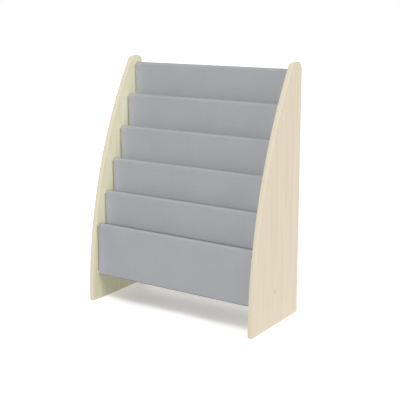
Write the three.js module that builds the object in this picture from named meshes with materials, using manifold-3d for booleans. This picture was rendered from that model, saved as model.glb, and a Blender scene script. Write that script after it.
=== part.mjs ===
// A sling bookshelf for children. Two side panels with a curved front edge carry twelve rods, and a sling of
// canvas hangs over the rods in steps, so that it makes five pockets for books, one in front of the other.
// Two rails behind the sling tie the panels together with cam fittings.
//
// Millimetres, +Z up, +X to the right as seen from the front, the front towards -Y. The origin lies on the
// floor, midway between the outer faces of the panels and midway between their front and rear edges.
//
// Everything is drawn in side view: x runs back from the front foot of a panel, y runs up from the floor and
// z runs across the shelf from its middle. One group turns that drawing into the part's own frame.

import * as THREE from 'three';
import { mergeVertices } from 'three/addons/utils/BufferGeometryUtils.js';
import Module from 'manifold-3d';

// Overall size
const width = 600;
const depth = 272;
const height = 768;

// Side panels: coated board with a glued edge band
const panelThickness = 15;
const topDepth = 50; // depth that the curve of the front edge leaves at the very top
const cornerRadius = 25;
const cornerLimitShare = 0.6; // the corners never take more than this share of the top depth
const bandThickness = 1;
const glueLine = 0.2;
const bandLift = 0.5; // the band ends this far above the floor
const boreFloor = 4; // board left behind the end of each blind bore

// Rods
const rodDiameter = 12;
const rodChamfer = 1;
const rodEase = 0.3; // round a rod in its bore
const endEase = 0.5; // between the end of a rod, bolt or dowel and the bottom of its bore

// Sling: the cloth and the sleeves sewn round the rods
const pockets = 5;
const clothThickness = 1.2;
const sleeveEase = 0.3; // round a rod in its sleeve
const sleeveHeight = 22; // from the edge of a cloth to the seam of its sleeve
const sideGap = 4; // between a cloth and the side panels
const headroom = 21; // from the top of the panels down to the top edge of the back cloth
const backSetback = 40.6; // from the rear edge of the panels to the face of the back cloth
const hemHeight = 81.5; // lowest edge of the sling above the floor
const apronHeight = 170; // height of the lowest pocket front
const apronSetback = 4.3; // from the front edge of the panels to the face of the lowest pocket front
const pocketDepth = 170; // from the top edge of a pocket to its bottom fold
const seamGap = 0.3; // between a lining and the cloth that it is sewn to
const seamLap = 5; // length over which they lie together
const curlShare = 0.25; // how softly a lining leaves its seams, as a share of its height

// Rails behind the sling
const railThickness = 15;
const railHeight = 70;
const railSetback = 2; // from the rear edge of the panels
const railGap = 0.3; // between a rail's end and a panel
const upperRailDrop = 10; // from the seam of the back cloth's sleeve down to the upper rail
const lowerRailHeight = 100; // from the floor up to the lower rail
const railFloor = 2.2; // board left in front of a cam's bore

// Cam fittings: a cam in the rail pulls on a bolt in the panel, beside a wooden dowel
const fittingSpacing = 32; // between the bolt and the dowel
const camDistance = 24; // from the panel to the middle of the cam
const camDiameter = 15;
const camWall = 1.6;
const fittingEase = 0.3;
const boltDiameter = 5;
const boltChamfer = 0.8;
const collarDiameter = 7.4;
const collarThickness = 1.5;
const neckDiameter = 3.8;
const headDiameter = 6.8;
const headThickness = 4;
const driveWidth = 1.4;
const driveLength = 8;
const driveDepth = 2;
const dowelDiameter = 8;
const dowelLength = 30;
const dowelChamfer = 1;

// Fineness of the faceted surfaces
const arcSteps = 12; // per half of an outline's arc
const sleeveSteps = 16;
const liningSteps = 12;
const roundSides = 24;
const fittingSides = 20;
const weld = 0.001; // points nearer than this are one point

// The front edge is an arc that stands upright on the floor and leans back towards the top.
const rake = depth - topDepth;
const frontRadius = (rake ** 2 + height ** 2) / (2 * rake);
const frontEdge = (y) => frontRadius - Math.sqrt(frontRadius ** 2 - y ** 2);

// The corners at the top: the front one is tangent to the arc, so its middle lies on a smaller arc.
const topRadius = Math.min(cornerRadius, topDepth * cornerLimitShare);
const cornerHeight = height - topRadius;
const frontCorner = frontRadius - Math.sqrt((frontRadius - topRadius) ** 2 - cornerHeight ** 2);
const rearCorner = depth - topRadius;
const cornerAngle = Math.atan2(cornerHeight, frontCorner - frontRadius);

const innerWidth = width - 2 * panelThickness;
const boreDepth = panelThickness - boreFloor;
const seatDepth = boreDepth - endEase;

// The cloths hang in even steps between the lowest pocket front and the back cloth.
const sleeveInner = rodDiameter / 2 + sleeveEase;
const sleeveOuter = sleeveInner + clothThickness;
const seamDrop = sleeveHeight - sleeveOuter;
const sleeveSlant = 2 * Math.atan2(sleeveInner, seamDrop);
const seamTip = seamDrop + clothThickness / Math.sin(sleeveSlant);
const highestTop = height - headroom;
const highestFace = depth - backSetback;
const lowestTop = hemHeight + apronHeight;
const lowestFace = frontEdge(lowestTop - sleeveOuter) + apronSetback;
const tierRise = (highestTop - lowestTop) / pockets;
const tierRun = (highestFace - lowestFace) / pockets;
const clothWidth = innerWidth - 2 * sideGap;

// Each cloth in side view: its face, its top edge and the middles of the rods in its two sleeves. Tier 0 is the
// back cloth. The bottom sleeve of a cloth turns forward under the next pocket, but the lowest hem turns back.
const tiers = Array.from({ length: pockets + 1 }, (_, n) => {
  const face = highestFace - n * tierRun;
  const top = highestTop - n * tierRise;
  const last = n === pockets;
  const bottom = last ? top - apronHeight : top - tierRise - pocketDepth;
  return {
    face,
    topRod: new THREE.Vector2(face + sleeveOuter, top - sleeveOuter),
    lowRod: new THREE.Vector2(last ? face + sleeveOuter : face - sleeveInner, bottom + sleeveOuter),
    turnsForward: !last,
  };
});
const rods = tiers.flatMap((tier, n) => [
  { name: n === 0 ? 'top_rod' : `pocket_${n}_rod`, middle: tier.topRod },
  { name: n === pockets ? 'hem_rod' : `pocket_${n + 1}_fold_rod`, middle: tier.lowRod },
]);

// The middle line of each rail, and the places of its bolt and dowel below and above that line
const railMiddle = depth - railSetback - railThickness / 2;
const upperRailLine = highestTop - sleeveHeight - upperRailDrop - railHeight / 2;
const lowerRailLine = lowerRailHeight + railHeight / 2;
const rails = [
  { name: 'upper', line: upperRailLine },
  { name: 'lower', line: lowerRailLine },
];
const boltPlace = (rail) => new THREE.Vector2(railMiddle, rail.line - fittingSpacing / 2);
const dowelPlace = (rail) => new THREE.Vector2(railMiddle, rail.line + fittingSpacing / 2);
const sides = [
  { name: 'left', sign: -1 },
  { name: 'right', sign: 1 },
];

const board = new THREE.MeshStandardMaterial({ color: 0xe3d7c1, roughness: 0.5 });
const band = new THREE.MeshStandardMaterial({ color: 0xe6dcc6, roughness: 0.45 });
const canvas = new THREE.MeshStandardMaterial({ color: 0xa5a6aa, roughness: 0.95, side: THREE.DoubleSide });
const beech = new THREE.MeshStandardMaterial({ color: 0xd9bf94, roughness: 0.6 });
const zinc = new THREE.MeshStandardMaterial({ color: 0xb9bbbd, roughness: 0.35, metalness: 0.9 });

const wasm = await Module();
wasm.setup();

// A closed geometry as a solid that can be cut
function solidOf(geometry) {
  const bare = geometry.clone();
  bare.deleteAttribute('normal');
  bare.deleteAttribute('uv');
  const merged = mergeVertices(bare, weld);
  return new wasm.Manifold(new wasm.Mesh({
    numProp: 3,
    vertProperties: merged.attributes.position.array,
    triVerts: new Uint32Array(merged.index.array),
  }));
}

// A body with each of the cutters taken out of it
function cut(body, cutters) {
  const left = cutters.reduce((solid, cutter) => solid.subtract(solidOf(cutter)), solidOf(body));
  const result = left.getMesh();
  const geometry = new THREE.BufferGeometry();
  geometry.setAttribute('position', new THREE.BufferAttribute(result.vertProperties, 3));
  geometry.setIndex(new THREE.BufferAttribute(result.triVerts, 1));
  const faceted = geometry.toNonIndexed();
  faceted.computeVertexNormals();
  return faceted;
}

function piece(name, geometry, material) {
  const mesh = new THREE.Mesh(geometry, material);
  mesh.name = name;
  return mesh;
}

// A cylinder across the shelf, for bores that run straight into the panels and the rails' ends
function crossBore(radius, length, place) {
  const bore = new THREE.CylinderGeometry(radius, radius, length, roundSides);
  return bore.rotateX(Math.PI / 2).translate(place.x, place.y, 0);
}

// A turned pin along +Y from a profile of [radius, height] pairs, listed from its lower end to its upper end
function turned(profile, sides) {
  return new THREE.LatheGeometry(profile.map(([radius, y]) => new THREE.Vector2(radius, y)), sides);
}

// A round bar with chamfered ends, from one height to another along +Y
function bar(radius, chamfer, from, to, sides) {
  return turned([
    [0, from],
    [radius - chamfer, from],
    [radius, from + chamfer],
    [radius, to - chamfer],
    [radius - chamfer, to],
    [0, to],
  ], sides);
}

// Points on a line that lie apart from the one before
const apart = (points) => points.filter((p, i) => i === 0 || p.distanceTo(points[i - 1]) > weld);

// The edge of a panel from its front foot over the top to its rear foot, drawn in by an inset
function edgeLine(inset, lift) {
  const line = new THREE.Path();
  const radius = frontRadius - inset;
  const foot = Math.PI - Math.asin(lift / radius);
  line.absarc(frontRadius, 0, radius, foot, cornerAngle, true);
  line.absarc(frontCorner, cornerHeight, topRadius - inset, cornerAngle, Math.PI / 2, true);
  line.absarc(rearCorner, cornerHeight, topRadius - inset, Math.PI / 2, 0, true);
  line.lineTo(depth - inset, lift);
  return apart(line.getPoints(arcSteps));
}

// The board of a side panel, with a blind bore in its inner face for each rod, bolt and dowel
function panel(side) {
  const outline = new THREE.Shape(edgeLine(bandThickness + glueLine, 0));
  const plate = new THREE.ExtrudeGeometry(outline, { depth: panelThickness, bevelEnabled: false });
  plate.translate(0, 0, side.sign > 0 ? 0 : -panelThickness);
  const bores = [
    ...rods.map((rod) => crossBore(rodDiameter / 2 + rodEase, 2 * boreDepth, rod.middle)),
    ...rails.map((rail) => crossBore(boltDiameter / 2 + fittingEase, 2 * boreDepth, boltPlace(rail))),
    ...rails.map((rail) => crossBore(dowelDiameter / 2 + fittingEase, 2 * boreDepth, dowelPlace(rail))),
  ];
  const mesh = piece(`${side.name}_panel`, cut(plate, bores), board);
  mesh.position.z = side.sign * innerWidth / 2;
  return mesh;
}

// The strip glued round the front, top and rear edge of a panel
function edgeBand(side) {
  const outline = new THREE.Shape([...edgeLine(0, bandLift), ...edgeLine(bandThickness, bandLift).reverse()]);
  const strip = new THREE.ExtrudeGeometry(outline, { depth: panelThickness, bevelEnabled: false });
  const mesh = piece(`${side.name}_edge_band`, strip, band);
  mesh.position.z = side.sign > 0 ? innerWidth / 2 : -width / 2;
  return mesh;
}

// A rod from the bottom of its bore in one panel to the bottom of its bore in the other
function rod({ name, middle }) {
  const reach = innerWidth / 2 + seatDepth;
  const mesh = piece(name, bar(rodDiameter / 2, rodChamfer, -reach, reach, roundSides), beech);
  mesh.rotation.x = Math.PI / 2;
  mesh.position.set(middle.x, middle.y, 0);
  return mesh;
}

// The sleeve at one end of a cloth, in side view. The cloth passes on one side of the rod, goes round it and
// slants back to its own inner face, where the seam is. behind is 1 where the rod lies behind the cloth and -1
// where it lies in front, and up is 1 at the top end of the cloth and -1 at the bottom end. Both lines start at
// the seam and end beside the rod.
function sleeve(middle, behind, up) {
  const place = (x, y) => new THREE.Vector2(middle.x + behind * x, middle.y + up * y);
  const round = (radius) => Array.from({ length: sleeveSteps + 1 }, (_, i) => {
    const angle = -sleeveSlant + (Math.PI + sleeveSlant) * i / sleeveSteps;
    return place(radius * Math.cos(angle), radius * Math.sin(angle));
  });
  return {
    outer: [place(-sleeveInner, -seamTip), ...round(sleeveOuter)],
    inner: [place(-sleeveInner, -seamDrop), ...round(sleeveInner)],
  };
}

// A hanging cloth with a sleeve at its top and one at its bottom
function hangingCloth(name, tier) {
  const head = sleeve(tier.topRod, 1, 1);
  const foot = sleeve(tier.lowRod, tier.turnsForward ? -1 : 1, -1);
  const footLine = tier.turnsForward ? foot.outer : foot.outer.slice().reverse();
  const outline = new THREE.Shape([...head.outer, ...footLine]);
  outline.holes = [new THREE.Path(head.inner), new THREE.Path(foot.inner)];
  return acrossTheSling(name, outline);
}

// The inner side of a pocket: it leaves the seam behind the pocket's front, slants down and back, and ends at
// the seam above the pocket's bottom fold.
function lining(name, front, back) {
  const half = clothThickness / 2;
  const head = new THREE.Vector2(front.face + clothThickness + seamGap + half, front.topRod.y - seamTip - seamGap);
  const foot = new THREE.Vector2(back.face - seamGap - half, back.lowRod.y + seamTip + seamGap);
  const leaves = new THREE.Vector2(head.x, head.y - seamLap);
  const arrives = new THREE.Vector2(foot.x, foot.y + seamLap);
  const curl = curlShare * (leaves.y - arrives.y);
  const slope = new THREE.CubicBezierCurve(
    leaves,
    new THREE.Vector2(leaves.x, leaves.y - curl),
    new THREE.Vector2(arrives.x, arrives.y + curl),
    arrives,
  );
  const line = [head, ...slope.getPoints(liningSteps), foot];
  const beside = (offset) => line.map((point, i) => {
    const before = line[Math.max(i - 1, 0)];
    const after = line[Math.min(i + 1, line.length - 1)];
    const along = after.clone().sub(before).normalize();
    return new THREE.Vector2(point.x - offset * along.y, point.y + offset * along.x);
  });
  return acrossTheSling(name, new THREE.Shape([...beside(half), ...beside(-half).reverse()]));
}

function acrossTheSling(name, outline) {
  const cloth = new THREE.ExtrudeGeometry(outline, { depth: clothWidth, bevelEnabled: false });
  const mesh = piece(name, cloth, canvas);
  mesh.position.z = -clothWidth / 2;
  return mesh;
}

// A rail with bores for its fittings: a round seat for each cam in its rear face, and beside each end a bore
// that leads the bolt to the cam and one that holds the dowel
function railBoard(rail) {
  const length = innerWidth - 2 * railGap;
  const stick = new THREE.BoxGeometry(railThickness, railHeight, length);
  const boltLine = boltPlace(rail).y - rail.line;
  const dowelLine = dowelPlace(rail).y - rail.line;
  const seat = camDiameter / 2 + fittingEase;
  const seatLength = 2 * (railThickness - railFloor);
  const cutters = sides.flatMap(({ sign }) => {
    const end = sign * innerWidth / 2;
    const camSeat = new THREE.CylinderGeometry(seat, seat, seatLength, roundSides).rotateZ(Math.PI / 2);
    camSeat.translate(railThickness / 2, boltLine, end - sign * camDistance);
    const boltWay = crossBore(collarDiameter / 2 + fittingEase, 2 * camDistance, new THREE.Vector2(0, boltLine));
    const dowelHole = 2 * (dowelLength - seatDepth + endEase);
    const dowelWay = crossBore(dowelDiameter / 2 + fittingEase, dowelHole, new THREE.Vector2(0, dowelLine));
    return [camSeat, boltWay.translate(0, 0, end), dowelWay.translate(0, 0, end)];
  });
  const mesh = piece(`${rail.name}_rail`, cut(stick, cutters), board);
  mesh.position.set(railMiddle, rail.line, 0);
  return mesh;
}

// A cam, drawn round +Z with the bolt's neck towards +X. The bolt's head goes in through the round entry, and a
// part turn of the cam brings the slot over the neck. A cross in its face takes the screwdriver.
function camShape() {
  const radius = camDiameter / 2;
  const face = railThickness / 2;
  const length = railThickness - railFloor - endEase;
  const overrun = camDiameter;
  const entryAngle = Math.PI * 2 / 3;
  const hollow = headDiameter / 2 + fittingEase;
  const body = new THREE.CylinderGeometry(radius, radius, length, fittingSides).rotateX(Math.PI / 2);
  body.translate(0, 0, face - length / 2);
  const chamber = new THREE.CylinderGeometry(radius - camWall, radius - camWall, 2 * hollow, fittingSides);
  const entry = new THREE.CylinderGeometry(hollow, hollow, overrun, fittingSides);
  entry.translate(0, overrun / 2, 0).rotateZ(entryAngle - Math.PI / 2);
  const neckWay = neckDiameter / 2 + fittingEase;
  const neck = new THREE.CylinderGeometry(neckWay, neckWay, overrun, fittingSides);
  neck.translate(0, overrun / 2, 0).rotateZ(-Math.PI / 2);
  const sweep = new THREE.Shape().moveTo(0, 0).absarc(0, 0, overrun, 0, entryAngle, false);
  const slot = new THREE.ExtrudeGeometry(sweep, { depth: 2 * neckWay, bevelEnabled: false });
  slot.translate(0, 0, -neckWay);
  const drive = [driveLength, driveWidth].map((across, i, both) => {
    const arm = new THREE.BoxGeometry(across, both[1 - i], 2 * driveDepth);
    return arm.translate(0, 0, face);
  });
  return cut(body, [chamber.rotateX(Math.PI / 2), entry, neck, slot, ...drive]);
}

// A connecting bolt along +Y, from its head in the cam to the tip of its thread in the panel
function boltShape() {
  const thread = boltDiameter / 2;
  const collar = collarDiameter / 2;
  const neck = neckDiameter / 2;
  const head = headDiameter / 2;
  const neckEnd = camDistance - camDiameter / 2 - fittingEase;
  const headBack = camDistance + headThickness / 2;
  const headFront = camDistance - headThickness / 2;
  return turned([
    [0, -headBack],
    [head - boltChamfer, -headBack],
    [head, -headBack + boltChamfer],
    [head, -headFront - boltChamfer],
    [neck, -headFront],
    [neck, -neckEnd],
    [thread, -neckEnd + boltChamfer],
    [thread, -railGap - collarThickness],
    [collar, -railGap - collarThickness],
    [collar, -railGap],
    [thread, -railGap],
    [thread, seatDepth - boltChamfer],
    [thread - boltChamfer, seatDepth],
    [0, seatDepth],
  ], fittingSides);
}

// The cam, bolt and dowel that join one end of a rail to its panel
function fitting(rail, side) {
  const face = side.sign * innerWidth / 2;
  const name = `${rail.name}_${side.name}`;
  const bolt = piece(`${name}_bolt`, boltShape(), zinc);
  bolt.position.set(boltPlace(rail).x, boltPlace(rail).y, face);
  bolt.rotation.x = side.sign * Math.PI / 2;
  const dowelBar = bar(dowelDiameter / 2, dowelChamfer, seatDepth - dowelLength, seatDepth, fittingSides);
  const dowel = piece(`${name}_dowel`, dowelBar, beech);
  dowel.position.set(dowelPlace(rail).x, dowelPlace(rail).y, face);
  dowel.rotation.x = side.sign * Math.PI / 2;
  const cam = piece(`${name}_cam`, camShape(), zinc);
  const towardsPanel = new THREE.Vector3(0, 0, side.sign);
  const downOrUp = new THREE.Vector3(0, -side.sign, 0);
  const towardsRear = new THREE.Vector3(1, 0, 0);
  cam.setRotationFromMatrix(new THREE.Matrix4().makeBasis(towardsPanel, downOrUp, towardsRear));
  cam.position.set(boltPlace(rail).x, boltPlace(rail).y, face - side.sign * camDistance);
  return [bolt, dowel, cam];
}

const sideView = new THREE.Group();
const back = new THREE.Vector3(0, 1, 0);
const up = new THREE.Vector3(0, 0, 1);
const across = new THREE.Vector3(1, 0, 0);
sideView.setRotationFromMatrix(new THREE.Matrix4().makeBasis(back, up, across));
sideView.position.y = -depth / 2;

sideView.add(...sides.map(panel), ...sides.map(edgeBand), ...rods.map(rod));
tiers.forEach((tier, n) => {
  sideView.add(hangingCloth(n === 0 ? 'back_cloth' : `pocket_${n}_front`, tier));
  if (n > 0) sideView.add(lining(`pocket_${n}_lining`, tier, tiers[n - 1]));
});
rails.forEach((rail) => {
  sideView.add(railBoard(rail), ...sides.flatMap((side) => fitting(rail, side)));
});

const bookshelf = new THREE.Group();
bookshelf.add(sideView);

export default bookshelf;
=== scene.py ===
import math

import bmesh
import bpy
import numpy as np
from mathutils import Matrix, Vector


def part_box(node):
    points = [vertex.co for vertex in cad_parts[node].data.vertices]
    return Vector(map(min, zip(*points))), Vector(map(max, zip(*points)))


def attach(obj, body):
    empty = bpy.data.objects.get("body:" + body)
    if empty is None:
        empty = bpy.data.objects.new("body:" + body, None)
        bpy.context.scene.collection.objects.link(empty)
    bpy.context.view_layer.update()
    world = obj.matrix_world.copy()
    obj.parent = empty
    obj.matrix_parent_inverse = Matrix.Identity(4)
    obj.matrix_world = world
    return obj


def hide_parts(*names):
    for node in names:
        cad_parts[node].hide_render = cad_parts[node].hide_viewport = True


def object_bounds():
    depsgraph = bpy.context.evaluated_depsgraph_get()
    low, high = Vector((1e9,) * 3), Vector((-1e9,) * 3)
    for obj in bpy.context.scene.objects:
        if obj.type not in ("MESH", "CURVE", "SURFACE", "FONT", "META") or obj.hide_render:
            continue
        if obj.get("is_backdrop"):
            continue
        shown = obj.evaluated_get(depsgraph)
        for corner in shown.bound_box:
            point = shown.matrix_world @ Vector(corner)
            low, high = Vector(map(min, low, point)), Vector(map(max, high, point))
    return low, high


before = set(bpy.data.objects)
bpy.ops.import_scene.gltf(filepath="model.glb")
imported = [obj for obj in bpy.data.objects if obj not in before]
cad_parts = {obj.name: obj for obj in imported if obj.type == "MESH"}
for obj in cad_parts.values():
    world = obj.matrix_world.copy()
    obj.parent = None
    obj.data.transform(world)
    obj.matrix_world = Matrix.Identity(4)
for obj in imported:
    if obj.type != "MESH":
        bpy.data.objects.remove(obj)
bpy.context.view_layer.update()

# A sling bookshelf for children: two side panels, twelve rods, one long canvas sling and two rear rails.
# Metres, +Z up, the front towards -Y. Each section below makes one piece or one group of like pieces.

# Camera. It stands to the right of the front, a little higher than the shelf, and looks down on it.
# A small shift lets it tilt a little less than it would have to without one, so the uprights lean in less.
camera_place = (1.4740, -2.1644, 0.9412)
camera_turn = math.radians(33.66)
camera_tilt = math.radians(11.34)
camera_lens_mm = 78.71
camera_shift = -0.06

bpy.ops.object.select_all(action="DESELECT")
bpy.ops.object.camera_add(location=camera_place, rotation=(math.pi / 2 - camera_tilt, 0, camera_turn))
camera = bpy.context.object
camera.data.lens = camera_lens_mm
camera.data.shift_y = camera_shift
bpy.context.scene.camera = camera
bpy.context.scene.view_settings.view_transform = "Standard"

# Studio. A plain floor lies under a dim white sky. Six broad lights are so far off that their light is even.
# The strongest is low in front, one is steep in front, and the rest come from both sides and from behind.
# The floor throws back less light than it shows the camera, so it looks white and keeps the shelf's shadow.
floor_size = 60
floor_albedo = 0.45
floor_shown = (1.48, 1.46, 1.455)
sky_light = 0.19
# Each light: degrees to the right of the front, degrees up, degrees across, strength
lights = {
    "steep front": (24, 66, 22, 0.70),
    "low front": (24, 14, 14, 2.04),
    "right": (85, 26, 30, 1.24),
    "left": (275, 6, 12, 0.85),
    "low rear": (185, 4, 8, 1.00),
    "steep rear": (220, 36, 26, 0.55),
}


def node(tree, kind, inputs=None, **settings):
    """Adds a shader node, sets its options, and links or sets its inputs."""
    made = tree.nodes.new(kind)
    for name, value in settings.items():
        setattr(made, name, value)
    for socket, value in (inputs or {}).items():
        if isinstance(value, bpy.types.NodeSocket):
            tree.links.new(value, made.inputs[socket])
        else:
            made.inputs[socket].default_value = value
    return made


def seen_directly(tree):
    """1 where a ray from the camera arrives, straight, mirrored or through glass, and 0 for bounced light."""
    path = node(tree, "ShaderNodeLightPath").outputs
    mirrored = node(tree, "ShaderNodeMath", {0: path["Is Camera Ray"], 1: path["Is Glossy Ray"]},
                    operation="MAXIMUM")
    either = node(tree, "ShaderNodeMath", {0: mirrored.outputs[0], 1: path["Is Transmission Ray"]},
                  operation="MAXIMUM")
    return either.outputs[0]


world = bpy.data.worlds.new("studio sky")
world.use_nodes = True
bpy.context.scene.world = world
sky_tree = world.node_tree
sky_tree.nodes.clear()
brightness = node(sky_tree, "ShaderNodeMapRange", {"Value": seen_directly(sky_tree), "To Min": sky_light,
                                                   "To Max": 1.0})
sky = node(sky_tree, "ShaderNodeBackground", {"Color": (1, 1, 1, 1), "Strength": brightness.outputs[0]})
node(sky_tree, "ShaderNodeOutputWorld", {"Surface": sky.outputs[0]})

bpy.ops.mesh.primitive_plane_add(size=floor_size)
floor = bpy.context.object
floor.name = "floor"
floor_paint = bpy.data.materials.new("floor paint")
floor_paint.use_nodes = True
floor_tree = floor_paint.node_tree
floor_tree.nodes.clear()
matt = node(floor_tree, "ShaderNodeBsdfDiffuse", {"Color": (floor_albedo,) * 3 + (1,)})
shown = node(floor_tree, "ShaderNodeBsdfDiffuse", {"Color": (*floor_shown, 1)})
floor_look = node(floor_tree, "ShaderNodeMixShader", {0: seen_directly(floor_tree), 1: matt.outputs[0],
                                                      2: shown.outputs[0]})
node(floor_tree, "ShaderNodeOutputMaterial", {"Surface": floor_look.outputs[0]})
floor.data.materials.append(floor_paint)
floor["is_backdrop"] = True

for name, (sideways, up, across, strength) in lights.items():
    bpy.ops.object.light_add(type="SUN", rotation=(math.radians(90 - up), 0, math.radians(sideways)))
    lamp = bpy.context.object
    lamp.name = f"{name} light"
    lamp.data.angle = math.radians(across)
    lamp.data.energy = strength

# Side panels. Each is 15 mm board with a pale maple foil on both faces, drilled blind on its inner face.
# The grain stands upright. A small dark fleck lies low on the right panel's outer face.
# Painted reflected light gives the inner faces a greener tone.
foil_light = (231, 219, 198)
foil_dark = (221, 206, 180)
# Inner tones: painted reflected light, which makes the inner faces greener than the outer ones.
inner_light_with_painted_bounce = (230, 226, 201)
inner_dark_with_painted_bounce = (213, 210, 175)
foil_figure = 2.6
foil_pores = 0.12
foil_gloss = 0.48
fleck_tone = (186, 154, 104)
fleck_place = (0.300, -0.005, 0.1045)
fleck_size = (0.010, 0.0044, 0.0160)
fleck_core_share = 0.2              # of its size, within which the fleck is darkest
fleck_strength = 0.7
streak_share = 0.4                  # of the fine streaks in the grain, beside the broad figure
pore_start = 0.6                    # height of the noise at which a pore begins
pore_full = 0.75                    # and at which it is as deep as it gets
gloss_swing = 0.06
grain_depth = 0.0004


def paint(tone):
    """A colour written in 8-bit sRGB as the linear colour that the shaders take."""
    linear = [((c / 255 + 0.055) / 1.055) ** 2.4 for c in tone]
    return (*linear, 1)


def wood_grain_group():
    """Straight wood grain along Z, with broad figure, fine streaks and short pores, between two tones."""
    group = bpy.data.node_groups.new("wood grain", "ShaderNodeTree")
    for name, kind in (("Vector", "Vector"), ("Light", "Color"), ("Dark", "Color"), ("Figure", "Float"),
                       ("Pores", "Float"), ("Gloss", "Float")):
        group.interface.new_socket(name, in_out="INPUT", socket_type=f"NodeSocket{kind}")
    for name, kind in (("Color", "Color"), ("Roughness", "Float"), ("Height", "Float")):
        group.interface.new_socket(name, in_out="OUTPUT", socket_type=f"NodeSocket{kind}")
    given = node(group, "NodeGroupInput").outputs

    def stretched_noise(along, scale, detail, distortion):
        """Noise drawn out along the grain. The smaller along is, the longer are its marks."""
        drawn = node(group, "ShaderNodeVectorMath", {0: given["Vector"], 1: (1, 1, along)},
                     operation="MULTIPLY")
        noise = node(group, "ShaderNodeTexNoise", {"Vector": drawn.outputs[0], "Scale": scale,
                                                  "Detail": detail, "Distortion": distortion})
        return noise.outputs[0]

    figure = stretched_noise(along=0.07, scale=55, detail=4, distortion=0.5)
    streaks = stretched_noise(along=0.015, scale=380, detail=3, distortion=0.2)
    pores = stretched_noise(along=0.07, scale=1500, detail=2, distortion=0)
    mixed = node(group, "ShaderNodeMix", {0: streak_share, 2: figure, 3: streaks}, data_type="FLOAT")
    centred = node(group, "ShaderNodeMath", {0: mixed.outputs[0], 1: 0.5}, operation="SUBTRACT")
    tone = node(group, "ShaderNodeMath", {0: centred.outputs[0], 1: given["Figure"], 2: 0.5},
                operation="MULTIPLY_ADD")
    short = node(group, "ShaderNodeMapRange", {"Value": pores, "From Min": pore_start,
                                               "From Max": pore_full})
    dark_pores = node(group, "ShaderNodeMath", {0: short.outputs[0], 1: given["Pores"], 2: tone.outputs[0]},
                      operation="MULTIPLY_ADD", use_clamp=True)
    color = node(group, "ShaderNodeMix", {0: dark_pores.outputs[0], 6: given["Light"], 7: given["Dark"]},
                 data_type="RGBA")
    dull = node(group, "ShaderNodeMapRange", {"Value": mixed.outputs[0], "To Min": -gloss_swing,
                                              "To Max": gloss_swing})
    roughness = node(group, "ShaderNodeMath", {0: dull.outputs[0], 1: given["Gloss"]})
    height = node(group, "ShaderNodeMath", {0: streaks, 1: short.outputs[0]}, operation="SUBTRACT")
    node(group, "NodeGroupOutput", {"Color": color.outputs[2], "Roughness": roughness.outputs[0],
                                    "Height": height.outputs[0]})
    return group


wood_grain = wood_grain_group()


def new_material(name):
    """A new material, with its node tree and its Principled shader."""
    made = bpy.data.materials.new(name)
    made.use_nodes = True
    return made, made.node_tree, made.node_tree.nodes["Principled BSDF"]


def grain_between(tree, place, light, dark, figure, pores, gloss):
    """The wood grain in a material, between two tones, on the given coordinates."""
    return node(tree, "ShaderNodeGroup", {"Vector": place, "Light": paint(light), "Dark": paint(dark),
                                          "Figure": figure, "Pores": pores, "Gloss": gloss},
                node_tree=wood_grain)


def wood(name, light, dark, figure, pores, gloss, turn=(0, 0, 0), relief=0.05):
    """A material of straight-grained wood or foil. turn lays the grain another way than upright."""
    made, tree, shader = new_material(name)
    place = node(tree, "ShaderNodeTexCoord").outputs["Object"]
    laid = node(tree, "ShaderNodeMapping", {"Vector": place, "Rotation": turn})
    grain = grain_between(tree, laid.outputs[0], light, dark, figure, pores, gloss)
    bump = node(tree, "ShaderNodeBump", {"Height": grain.outputs["Height"], "Strength": relief,
                                         "Distance": grain_depth})
    tree.links.new(grain.outputs["Color"], shader.inputs["Base Color"])
    tree.links.new(grain.outputs["Roughness"], shader.inputs["Roughness"])
    tree.links.new(bump.outputs[0], shader.inputs["Normal"])
    return made


def foil_board_with_painted_bounce(name):
    """The foil of the panels, greener on the inner faces with painted reflected light, and with the fleck
    on the right panel's outer face.
    """
    made = wood(name, foil_light, foil_dark, foil_figure, foil_pores, foil_gloss)
    tree = made.node_tree
    base_color = tree.nodes["Principled BSDF"].inputs["Base Color"]
    outer = base_color.links[0].from_socket
    place = node(tree, "ShaderNodeTexCoord").outputs["Object"]
    bounce_tinted = grain_between(tree, place, inner_light_with_painted_bounce, inner_dark_with_painted_bounce, foil_figure, foil_pores, foil_gloss)
    # Painted reflected light: from the board's middle to its inner face, the grain blends into the greener
    # tones.
    across = node(tree, "ShaderNodeSeparateXYZ", {0: place}).outputs["X"]
    from_middle = node(tree, "ShaderNodeMath", {0: across}, operation="ABSOLUTE")
    low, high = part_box("right_panel")
    painted_bounce_fade = node(tree, "ShaderNodeMapRange", {"Value": from_middle.outputs[0], "From Min": low.x,
                                               "From Max": (low.x + high.x) / 2})
    faces = node(tree, "ShaderNodeMix", {0: painted_bounce_fade.outputs[0], 6: bounce_tinted.outputs["Color"], 7: outer},
                 data_type="RGBA")
    from_fleck = node(tree, "ShaderNodeVectorMath", {0: place, 1: fleck_place}, operation="SUBTRACT")
    in_sizes = node(tree, "ShaderNodeVectorMath", {0: from_fleck.outputs[0], 1: fleck_size},
                    operation="DIVIDE")
    reach = node(tree, "ShaderNodeVectorMath", {0: in_sizes.outputs[0]}, operation="LENGTH")
    mark = node(tree, "ShaderNodeMapRange", {"Value": reach.outputs["Value"], "From Min": 1.0,
                                            "From Max": fleck_core_share, "To Max": fleck_strength})
    marked = node(tree, "ShaderNodeMix", {0: mark.outputs[0], 6: faces.outputs[2], 7: paint(fleck_tone)},
                  data_type="RGBA")
    tree.links.new(marked.outputs[2], base_color)
    return made


def finish(piece, material):
    """One material all over a piece."""
    piece.data.materials.clear()
    piece.data.materials.append(material)


panel_foil = foil_board_with_painted_bounce("maple foil, upright, inner faces with painted bounce")
for side in ("left", "right"):
    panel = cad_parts[f"{side}_panel"]
    panel.material_slots[0].material = panel_foil

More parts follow.
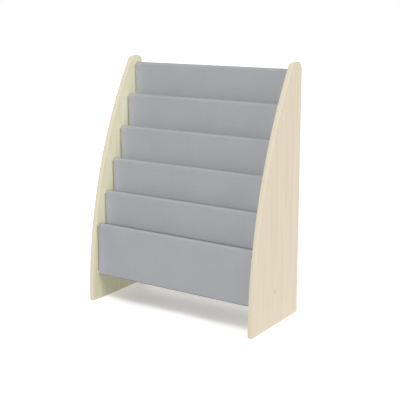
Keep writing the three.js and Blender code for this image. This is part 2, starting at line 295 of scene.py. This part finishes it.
# Edge bands. A cream plastic strip 1 mm thick is glued round each panel's front, top and rear edge.
# Its two outer corners are scraped round, so that they aren't sharp to the hand.
band_light = (217, 208, 187)
band_dark = (209, 200, 178)
band_rounding = 0.0007
merge_distance = 1e-6
square_on = 0.9                     # least length along X of the normal of a face that looks sideways


def choose(piece):
    """Selects one object alone and makes it the active one."""
    bpy.ops.object.select_all(action="DESELECT")
    piece.select_set(True)
    bpy.context.view_layer.objects.active = piece


def copied_solid(name, node_name):
    """A new object with a node's shape, its loose triangles joined and its flat faces made whole."""
    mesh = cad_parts[node_name].data.copy()
    mesh.name = name
    made = bpy.data.objects.new(name, mesh)
    bpy.context.scene.collection.objects.link(made)
    choose(made)
    bpy.ops.object.mode_set(mode="EDIT")
    bpy.ops.mesh.customdata_custom_splitnormals_clear()
    bpy.ops.mesh.select_all(action="SELECT")
    bpy.ops.mesh.remove_doubles(threshold=merge_distance)
    bpy.ops.mesh.dissolve_limited(angle_limit=math.radians(0.2))
    bpy.ops.object.mode_set(mode="OBJECT")
    return made


def round_edges(piece, wanted, size, steps):
    """Rounds the edges for which wanted(edge) is true."""
    choose(piece)
    bpy.ops.object.mode_set(mode="EDIT")
    bpy.ops.mesh.select_mode(type="EDGE")
    bpy.ops.mesh.select_all(action="DESELECT")
    shape = bmesh.from_edit_mesh(piece.data)
    shape.normal_update()
    for edge in shape.edges:
        edge.select = wanted(edge)
    bmesh.update_edit_mesh(piece.data)
    bpy.ops.mesh.bevel(offset=size, segments=steps, affect="EDGES")
    bpy.ops.object.mode_set(mode="OBJECT")


def middle_of(node_name):
    """The middle of the box round a node."""
    low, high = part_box(node_name)
    return (low + high) / 2


band_strip = wood("edge strip", band_light, band_dark, figure=0.8, pores=0.0, gloss=0.42, relief=0.02)
for side in ("left", "right"):
    middle = middle_of(f"{side}_edge_band")

    def outer_corner(edge):
        """True on the long edges between the strip's outer face and its sides."""
        sideways = [abs(face.normal.x) > square_on for face in edge.link_faces]
        outward = [abs(face.normal.x) < 1 - square_on
                   and face.normal.dot(face.calc_center_median() - middle) > 0 for face in edge.link_faces]
        return any(sideways) and any(outward)

    band = copied_solid(f"{side}_edge_strip", f"{side}_edge_band")
    round_edges(band, outer_corner, band_rounding, steps=3)
    bpy.ops.object.shade_smooth_by_angle(angle=math.radians(40))
    finish(band, band_strip)
    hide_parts(f"{side}_edge_band")
    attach(band, "root")

# Rods. Twelve turned beech rods, 12 mm thick, lie in blind bores between the panels and carry the sling.
# Each end is broken with a small round.
rod_light = (229, 212, 182)
rod_dark = (209, 186, 150)
rod_sides = 48
rod_end_round = 0.001
pockets = range(1, 6)
rod_names = ["top_rod", *(f"pocket_{n}_rod" for n in pockets), *(f"pocket_{n}_fold_rod" for n in pockets),
             "hem_rod"]
lengthwise = (0, math.pi / 2, 0)


def at_rod_end(edge):
    """True on the rim between a rod's round end and its long, four-sided faces."""
    return any(len(face.verts) > 4 for face in edge.link_faces)


beech = wood("beech", rod_light, rod_dark, figure=1.4, pores=0.5, gloss=0.55, turn=lengthwise, relief=0.15)
low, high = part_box("top_rod")
rod_radius = (high.z - low.z) / 2
bpy.ops.object.select_all(action="DESELECT")
bpy.ops.mesh.primitive_cylinder_add(vertices=rod_sides, radius=rod_radius, depth=high.x - low.x,
                                    rotation=lengthwise)
pattern_rod = bpy.context.object
bpy.ops.object.transform_apply(location=True, rotation=True, scale=True)
round_edges(pattern_rod, at_rod_end, rod_end_round, steps=3)
bpy.ops.object.shade_smooth_by_angle(angle=math.radians(40))
for name in rod_names:
    rod = pattern_rod.copy()
    rod.data = pattern_rod.data.copy()
    rod.name = name.replace("rod", "beech_rod")
    bpy.context.scene.collection.objects.link(rod)
    rod.data.transform(Matrix.Translation(middle_of(name)))
    finish(rod, beech)
    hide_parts(name)
    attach(rod, "root")
bpy.data.objects.remove(pattern_rod)

# Sling. One long strip of grey canvas runs up and down over the rods, so that it makes six steps.
# Two layers are sewn together below each rod in a top edge, and above each rod in a fold or the hem.
# Both side edges are hemmed, so they are thicker than the rest.
canvas_light = (176, 177, 181)
canvas_dark = (156, 157, 161)
thread_pitch = 0.0009
cloth = 0.0011                      # thickness of one layer
hem_width = 0.014
hem_ramp = 0.0008                   # width over which the hem's extra thickness comes in
hem_extra = 0.0007
hem_round = 0.0004
pinch_share = 0.55                  # of the thickness, pressed out under the stitches
pinch_reach = 0.0012
sleeve_bend = rod_radius + 0.0009   # from the rod's middle to the middle of the cloth round it
layer_step = cloth + 0.00005        # between the middles of two layers that are sewn together
seam_lap = 0.005
end_tuck = 0.006
arc_step = math.radians(11)
run_step = 0.009
column_step = 0.0105
hang_power = 0.7                    # under 1, so that the cloth comes free soon after a seam
slack_share = 0.25                  # of a lining's height, over which it bends out of the upright
wave_height = 0.0005
wave_count = 6
wave_seed = 11
wave_widths = (0.09, 0.30)
wave_lengths = (0.12, 0.50)
draw_in = 0.0007
edge_curl = 0.0008
curl_reach = 0.05
crossing_dip = 0.45                 # how far a thread dips on either side of a crossing
base_shade = 0.15                   # lightness before what the thread, its crown and the cloud add
tone_share = 0.25
# Painted shade: the crown's share darkens the colour where a thread dips towards a crossing.
crown_painted_shade_share = 0.35
cloud_share = 0.35


def freedom_at(share):
    """How freely the cloth hangs at a share of the way between two seams: 0 at both ends, 1 in the middle."""
    return max(0, math.sin(math.pi * share)) ** hang_power


class Way:
    """The middle line of the cloth in side view, row by row from its tucked end below the top rod.
    A row is (y, z, freedom, sewn, pinch). Freedom is 0 on a rod or seam and 1 where the cloth hangs free,
    sewn is 1 where two layers lie together, and pinch is 1 under the stitches."""

    def __init__(self, y, z):
        self.rows = [(y, z, 0, 1, 0)]
        self.seams = []

    def run(self, y, z, hangs=0, sewn=0):
        """Straight on to (y, z)."""
        start, end = Vector(self.rows[-1][:2]), Vector((y, z))
        steps = max(1, round((end - start).length / run_step))
        for i in range(1, steps + 1):
            self.rows.append((*start.lerp(end, i / steps), hangs * freedom_at(i / steps), sewn, 0))

    def slack(self, y, z):
        """On to (y, z) in an easy curve that starts and ends upright, as a pocket's lining hangs."""
        start, end = Vector(self.rows[-1][:2]), Vector((y, z))
        bend = Vector((0, (z - start.y) * slack_share))
        steps = round((end - start).length / run_step)
        for i in range(1, steps + 1):
            t = i / steps
            spot = (1 - t) ** 3 * start + t ** 3 * end
            spot += 3 * (1 - t) ** 2 * t * (start + bend) + 3 * (1 - t) * t ** 2 * (end - bend)
            self.rows.append((*spot, freedom_at(t), 0, 0))

    def turn(self, rod, first, last):
        """Round a rod, from one angle to another."""
        steps = math.ceil(abs(last - first) / arc_step)
        for i in range(steps + 1):
            angle = first + (last - first) * i / steps
            spot = (rod.y + sleeve_bend * math.cos(angle), rod.z + sleeve_bend * math.sin(angle))
            self.rows.append((*spot, 0, 0, 0))

    def seam(self, z, face):
        """Straight on over a seam, up or down to z. face is the side of the cloth that shows, 1 or -1."""
        y, start = self.rows[-1][:2]
        middle = (start + z) / 2
        nip = math.copysign(pinch_reach, z - start)
        self.rows += [(y, middle - nip, 0, 1, 0), (y, middle, 0, 1, 1)]
        self.seams.append((len(self.rows) - 1, face))
        self.rows += [(y, middle + nip, 0, 1, 0), (y, z, 0, 1, 0)]


# A seam begins seam_drop from its rod's middle, where the solid of a lining ends, and is seam_lap high.
# Below a rod in a top edge, the inner layer leaves its bend round the rod at the angle leave and runs
# straight to the seam. In a fold all this is turned half round, and in the hem it is upside down.
top = middle_of("top_rod")
hem = middle_of("hem_rod")
seam_drop = middle_of("pocket_1_rod").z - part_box("pocket_1_lining")[1].z
lap_drop = seam_drop + seam_lap
seam_run = sleeve_bend - layer_step
leave = math.acos(sleeve_bend / math.hypot(seam_drop, seam_run)) + math.atan2(-seam_drop, -seam_run)

way = Way(top.y - seam_run, top.z - lap_drop - end_tuck)
way.run(top.y - seam_run, top.z - lap_drop, sewn=1)
way.seam(top.z - seam_drop, face=1)
way.turn(top, leave, math.pi)
carrier = top
for n in pockets:
    fold = middle_of(f"pocket_{n}_fold_rod")
    head = middle_of(f"pocket_{n}_rod")
    way.run(carrier.y - sleeve_bend, carrier.z - seam_drop)
    way.seam(carrier.z - lap_drop, face=1)
    way.run(carrier.y - sleeve_bend, fold.z + lap_drop, hangs=1)
    way.seam(fold.z + seam_drop, face=-1)
    way.turn(fold, 0, leave - math.pi)
    way.run(fold.y + seam_run, fold.z + seam_drop)
    way.seam(fold.z + lap_drop, face=-1)
    way.slack(head.y - seam_run, head.z - lap_drop)
    way.seam(head.z - seam_drop, face=1)
    way.turn(head, leave, math.pi)
    carrier = head
way.run(carrier.y - sleeve_bend, carrier.z - seam_drop)
way.seam(carrier.z - lap_drop, face=1)
way.run(carrier.y - sleeve_bend, hem.z + lap_drop, hangs=1)
way.seam(hem.z + seam_drop, face=1)
way.turn(hem, -math.pi, -leave)
way.run(hem.y - seam_run, hem.z + seam_drop)
way.seam(hem.z + lap_drop, face=1)
way.run(hem.y - seam_run, hem.z + lap_drop + end_tuck, sewn=1)

line = np.array(way.rows)
along = np.concatenate([[0], np.cumsum(np.hypot(*np.diff(line[:, :2], axis=0).T))])
cut_length = along[-1]
cut_width = 2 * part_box("back_cloth")[1].x
half_width = cut_width / 2
heading = np.stack([np.gradient(line[:, 0], along), np.gradient(line[:, 1], along)], axis=1)
heading /= np.linalg.norm(heading, axis=1, keepdims=True)

chance = np.random.RandomState(wave_seed)
waves = [(chance.uniform(*wave_widths), chance.uniform(*wave_lengths), chance.uniform(0, 2 * math.pi))
         for _ in range(wave_count)]


def heading_at(reach):
    """Which way the cloth runs in Y and in Z, at places along the cut."""
    return [np.interp(reach, along, heading[:, k]) for k in range(2)]


def on_sling(across, reach, lift=0.0):
    """Points of the hung cloth, from their place on the flat cut and their height on the side that shows."""
    y, z, freedom = (np.interp(reach, along, line[:, k]) for k in range(3))
    heading_y, heading_z = heading_at(reach)
    ripple = sum(np.sin(2 * math.pi * (across / wide + reach / tall) + start) for wide, tall, start in waves)
    curl = np.clip((np.abs(across) - half_width + curl_reach) / curl_reach, 0, 1) ** 2
    off = lift + freedom * (wave_height * ripple / math.sqrt(wave_count) - edge_curl * curl)
    drawn = across * (1 - 2 * draw_in * freedom / cut_width)
    return np.stack([drawn, y + off * heading_z, z - off * heading_y], axis=-1)


def canvas():
    """Plain-weave canvas on the flat cut's own map: threads that pass over and under each other, each thread
    a little lighter or darker than the next, with painted shade where they dip towards a crossing."""
    made, tree, shader = new_material("grey canvas")
    cut = node(tree, "ShaderNodeUVMap", uv_map="cut").outputs["UV"]
    counted = node(tree, "ShaderNodeVectorMath", {0: cut, 1: (1 / thread_pitch,) * 3}, operation="MULTIPLY")
    count = node(tree, "ShaderNodeSeparateXYZ", {0: counted.outputs[0]})

    def worked(operation, first, second=0.0, third=0.0):
        """The result of a Math node."""
        return node(tree, "ShaderNodeMath", {0: first, 1: second, 2: third}, operation=operation).outputs[0]

    def threads_along(axis):
        """The wave across the threads of one direction, how high they stand, and each one's own tone."""
        swing = worked("SINE", worked("MULTIPLY", count.outputs[axis], math.pi))
        number = worked("FLOOR", count.outputs[axis])
        tone = node(tree, "ShaderNodeTexWhiteNoise", {"W": number}, noise_dimensions="1D").outputs["Value"]
        return swing, worked("ABSOLUTE", swing), tone

    def crown_of(height, crossing_height):
        """The rounded top of the threads, lower towards the places where they go under."""
        return worked("MULTIPLY", height, worked("MULTIPLY_ADD", crossing_height, crossing_dip,
                                                 1 - crossing_dip))

    warp, warp_height, warp_tone = threads_along("X")
    weft, weft_height, weft_tone = threads_along("Y")
    warp_over = worked("GREATER_THAN", worked("MULTIPLY", warp, weft))
    warp_crown = crown_of(warp_height, weft_height)
    weft_crown = crown_of(weft_height, warp_height)
    crown = node(tree, "ShaderNodeMix", {0: warp_over, 2: weft_crown, 3: warp_crown}).outputs[0]
    tone = node(tree, "ShaderNodeMix", {0: warp_over, 2: weft_tone, 3: warp_tone}).outputs[0]
    cloud = node(tree, "ShaderNodeTexNoise", {"Vector": cut, "Scale": 9.0, "Detail": 3.0}).outputs[0]
    # Painted shade: the colour darkens with the crown, where threads dip under each other.
    shade = worked("MULTIPLY_ADD", tone, tone_share, worked("MULTIPLY_ADD", crown, crown_painted_shade_share, base_shade))
    shade = worked("MULTIPLY_ADD", worked("SUBTRACT", cloud, 0.5), cloud_share, shade)
    color = node(tree, "ShaderNodeMix", {0: shade, 6: paint(canvas_dark), 7: paint(canvas_light)},
                 data_type="RGBA")
    bump = node(tree, "ShaderNodeBump", {"Height": crown, "Strength": 0.35, "Distance": 0.0002})
    tree.links.new(color.outputs[2], shader.inputs["Base Color"])
    tree.links.new(bump.outputs[0], shader.inputs["Normal"])
    shader.inputs["Roughness"].default_value = 0.9
    shader.inputs["Specular IOR Level"].default_value = 0.12
    return made


def apply_modifiers(piece):
    """Applies every modifier of a piece, in order."""
    choose(piece)
    for modifier in list(piece.modifiers):
        bpy.ops.object.modifier_apply(modifier=modifier.name)


field = half_width - hem_width - hem_ramp
inner_columns = np.linspace(-field, field, 1 + round(2 * field / column_step))
side_columns = np.array([half_width, half_width - hem_width / 2, half_width - hem_width])
columns = np.concatenate([-side_columns, inner_columns, side_columns[::-1]])
bpy.ops.object.select_all(action="DESELECT")
bpy.ops.mesh.primitive_grid_add(x_subdivisions=len(columns) - 1, y_subdivisions=len(line) - 1, size=1)
sling = bpy.context.object
sling.name = "sling"
flat = np.array([vertex.co for vertex in sling.data.vertices])
column = np.rint((flat[:, 0] + 0.5) * (len(columns) - 1)).astype(int)
row = np.rint((flat[:, 1] + 0.5) * (len(line) - 1)).astype(int)
sling.data.vertices.foreach_set("co", on_sling(columns[column], along[row]).ravel())
cut_map = sling.data.uv_layers[0]
cut_map.name = "cut"
corners = np.array([loop.vertex_index for loop in sling.data.loops])
cut_map.data.foreach_set("uv", np.stack([columns[column[corners]], along[row[corners]]], axis=1).ravel())

hem_thickness = cloth + hem_extra
hemmed = np.clip((np.abs(columns[column]) - field) / hem_ramp, 0, 1)
thickness = (cloth + hem_extra * hemmed * (1 - line[row, 3])) * (1 - pinch_share * line[row, 4])
thickness_group = sling.vertex_groups.new(name="thickness")
for index, share in enumerate(thickness / hem_thickness):
    thickness_group.add([index], share, "REPLACE")
solid = sling.modifiers.new("thickness", "SOLIDIFY")
solid.thickness = hem_thickness
solid.offset = 0
solid.vertex_group = "thickness"
edges = sling.modifiers.new("soft edges", "BEVEL")
edges.width = hem_round
edges.segments = 2
edges.angle_limit = math.radians(60)
apply_modifiers(sling)
sling.vertex_groups.clear()
bpy.ops.object.shade_smooth_by_angle(angle=math.radians(50))
finish(sling, canvas())
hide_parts("back_cloth", *(f"pocket_{n}_{part}" for n in pockets for part in ("front", "lining")))
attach(sling, "root")

# Stitching. A lockstitch seam in matching thread closes each sleeve, and another runs down each side hem.
# Every stitch is a short piece of thread that sinks a little into the cloth.
stitch_pitch = 0.0034
stitch_size = Vector((0.0028, 0.00055, 0.0005))
stitch_sink = 0.00008
hem_stitch_inset = 0.0115
hardly_sewn = 0.01                  # a hem stitch is left out where the two layers are sewn more than this
thread_light = (182, 183, 187)
thread_dark = (150, 151, 155)


def thread():
    """Spun thread with a fine mottle and a slight gloss."""
    made, tree, shader = new_material("grey thread")
    place = node(tree, "ShaderNodeTexCoord").outputs["Object"]
    fibre = node(tree, "ShaderNodeTexNoise", {"Vector": place, "Scale": 2500.0}).outputs[0]
    color = node(tree, "ShaderNodeMix", {0: fibre, 6: paint(thread_dark), 7: paint(thread_light)},
                 data_type="RGBA")
    tree.links.new(color.outputs[2], shader.inputs["Base Color"])
    shader.inputs["Roughness"].default_value = 0.6
    return made


yarn = thread()
bpy.ops.object.select_all(action="DESELECT")
bpy.ops.mesh.primitive_ico_sphere_add(subdivisions=1, radius=0.5)
bpy.ops.transform.resize(value=stitch_size)
bpy.ops.object.transform_apply(location=True, rotation=True, scale=True)
pattern_stitch = bpy.context.object
bead = np.array([vertex.co for vertex in pattern_stitch.data.vertices])
bead_faces = np.array([face.vertices for face in pattern_stitch.data.polygons])
bpy.data.objects.remove(pattern_stitch)


def stitches(name, places, onward, outward):
    """One object with a stitch at each place, laid along onward and standing up along outward."""
    sideways = np.cross(outward, onward)
    corners = (places[:, None] + bead[None, :, :1] * onward[:, None] + bead[None, :, 1:2] * sideways[:, None]
               + bead[None, :, 2:] * outward[:, None])
    faces = bead_faces[None] + len(bead) * np.arange(len(places))[:, None, None]
    mesh = bpy.data.meshes.new(name)
    mesh.from_pydata(corners.reshape(-1, 3).tolist(), [], faces.reshape(-1, 3).tolist())
    made = bpy.data.objects.new(name, mesh)
    bpy.context.scene.collection.objects.link(made)
    choose(made)
    bpy.ops.object.shade_smooth()
    finish(made, yarn)
    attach(made, "root")
    return made


def outward_at(reach, face):
    """The direction in which a side of the cloth faces, at places along the cut."""
    heading_y, heading_z = heading_at(reach)
    return face[:, None] * np.stack([0 * reach, heading_z, -heading_y], axis=-1)


per_seam = round((cut_width - 2 * stitch_pitch) / stitch_pitch)
seam_x = np.tile((np.arange(per_seam) - (per_seam - 1) / 2) * stitch_pitch, len(way.seams))
seam_reach = np.repeat([along[index] for index, face in way.seams], per_seam)
seam_face = np.repeat([float(face) for index, face in way.seams], per_seam)
seam_lift = seam_face * (cloth / 2 - stitch_sink)
crosswise = np.tile([1.0, 0.0, 0.0], (len(seam_x), 1))
seam_stitches = stitches("seam_stitches", on_sling(seam_x, seam_reach, seam_lift), crosswise,
                         outward_at(seam_reach, seam_face))

per_hem = round(cut_length / stitch_pitch)
hem_reach = (np.arange(per_hem) + 0.5) * stitch_pitch
hem_reach = hem_reach[np.interp(hem_reach, along, line[:, 3]) < hardly_sewn]
hem_parts = [(side, face) for side in (-1.0, 1.0) for face in (-1.0, 1.0)]
hem_x = np.repeat([side * (half_width - hem_stitch_inset) for side, face in hem_parts], len(hem_reach))
hem_face = np.repeat([face for side, face in hem_parts], len(hem_reach))
hem_reach = np.tile(hem_reach, len(hem_parts))
hem_lift = hem_face * (hem_thickness / 2 - stitch_sink)
downhill = np.stack([0 * hem_reach, *heading_at(hem_reach)], axis=-1)
hem_stitches = stitches("hem_stitches", on_sling(hem_x, hem_reach, hem_lift), downhill,
                        outward_at(hem_reach, hem_face))

# Rails. Two boards in the same foil, laid crosswise, tie the panels together behind the sling.
# Each is drilled from behind for its cams, and in its ends for the bolts and dowels.
rail_round = 0.0008
drill_sides = 48
drill_ease = 0.0003
seat_floor_gap = 0.0005
end_depth = 0.026
front_to_rear = (math.pi / 2, 0, 0)

rail_foil = wood("maple foil, crosswise", foil_light, foil_dark, foil_figure, foil_pores, foil_gloss,
                 turn=lengthwise)


def drill(board, place, radius, depth, turn):
    """Takes a round hole out of a board. Half of depth lies on each side of place."""
    bpy.ops.object.select_all(action="DESELECT")
    bpy.ops.mesh.primitive_cylinder_add(vertices=drill_sides, radius=radius, depth=depth, location=place,
                                        rotation=turn)
    bit = bpy.context.object
    hole = board.modifiers.new("hole", "BOOLEAN")
    hole.operation = "DIFFERENCE"
    hole.object = bit
    apply_modifiers(board)
    bpy.data.objects.remove(bit)


def lengthwise_edge(edge):
    """True on a rail's four long edges, which are longer than the rail is high."""
    return abs(edge.verts[0].co.x - edge.verts[1].co.x) > high.z - low.z


for rail in ("upper", "lower"):
    low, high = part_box(f"{rail}_rail")
    bpy.ops.object.select_all(action="DESELECT")
    bpy.ops.mesh.primitive_cube_add(size=1, location=(low + high) / 2, scale=high - low)
    board = bpy.context.object
    board.name = f"{rail}_rail_board"
    bpy.ops.object.transform_apply(location=True, rotation=True, scale=True)
    round_edges(board, lengthwise_edge, rail_round, steps=3)
    for side, end in (("left", -high.x), ("right", high.x)):
        for part in ("bolt", "dowel"):
            part_low, part_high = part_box(f"{rail}_{side}_{part}")
            drill(board, (end, (part_low.y + part_high.y) / 2, (part_low.z + part_high.z) / 2),
                  (part_high.z - part_low.z) / 2 + drill_ease, 2 * end_depth, lengthwise)
        cam_low, cam_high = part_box(f"{rail}_{side}_cam")
        seat = middle_of(f"{rail}_{side}_cam")
        seat_depth = cam_high.y - cam_low.y + seat_floor_gap
        drill(board, (seat.x, cam_high.y, seat.z), (cam_high.x - cam_low.x) / 2 + drill_ease,
              2 * seat_depth, front_to_rear)
    choose(board)
    bpy.ops.object.shade_smooth_by_angle(angle=math.radians(30))
    finish(board, rail_foil)
    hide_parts(f"{rail}_rail")
    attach(board, "root")

# Fittings. A die-cast cam in each end of a rail pulls on a bolt that is screwed into the panel, beside a
# beech dowel that keeps the rail from turning. Only the cams' faces show, from behind.
cam_round = 0.00025
cam_rim_bend = 1.0                  # radians, less than the bend at the rim of a cam's face
zinc_light = (188, 189, 192)
zinc_dark = (158, 160, 164)


def cast_zinc():
    """Dull die-cast metal with a cloudy tone and fine pitting."""
    made, tree, shader = new_material("cast zinc")
    place = node(tree, "ShaderNodeTexCoord").outputs["Object"]
    cloud = node(tree, "ShaderNodeTexNoise", {"Vector": place, "Scale": 300.0, "Detail": 4.0}).outputs[0]
    pits = node(tree, "ShaderNodeTexNoise", {"Vector": place, "Scale": 2600.0, "Detail": 2.0}).outputs[0]
    color = node(tree, "ShaderNodeMix", {0: cloud, 6: paint(zinc_dark), 7: paint(zinc_light)},
                 data_type="RGBA")
    dull = node(tree, "ShaderNodeMapRange", {"Value": cloud, "To Min": 0.38, "To Max": 0.55})
    bump = node(tree, "ShaderNodeBump", {"Height": pits, "Strength": 0.2, "Distance": 0.0001})
    tree.links.new(color.outputs[2], shader.inputs["Base Color"])
    tree.links.new(dull.outputs[0], shader.inputs["Roughness"])
    tree.links.new(bump.outputs[0], shader.inputs["Normal"])
    shader.inputs["Metallic"].default_value = 0.9
    return made


def on_back_rim(edge):
    """True on the sharp edges round the face of a cam that shows from behind."""
    return (all(abs(vertex.co.y - back_face) < merge_distance for vertex in edge.verts)
            and edge.calc_face_angle(0) > cam_rim_bend)


zinc = cast_zinc()
for corner in (f"{rail}_{side}" for rail in ("upper", "lower") for side in ("left", "right")):
    back_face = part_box(f"{corner}_cam")[1].y
    cam = copied_solid(f"{corner}_cast_cam", f"{corner}_cam")
    round_edges(cam, on_back_rim, cam_round, steps=2)
    bpy.ops.object.shade_smooth_by_angle(angle=math.radians(30))
    finish(cam, zinc)
    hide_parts(f"{corner}_cam")
    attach(cam, "root")
    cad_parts[f"{corner}_bolt"].material_slots[0].material = zinc
    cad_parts[f"{corner}_dowel"].material_slots[0].material = beech

low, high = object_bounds()
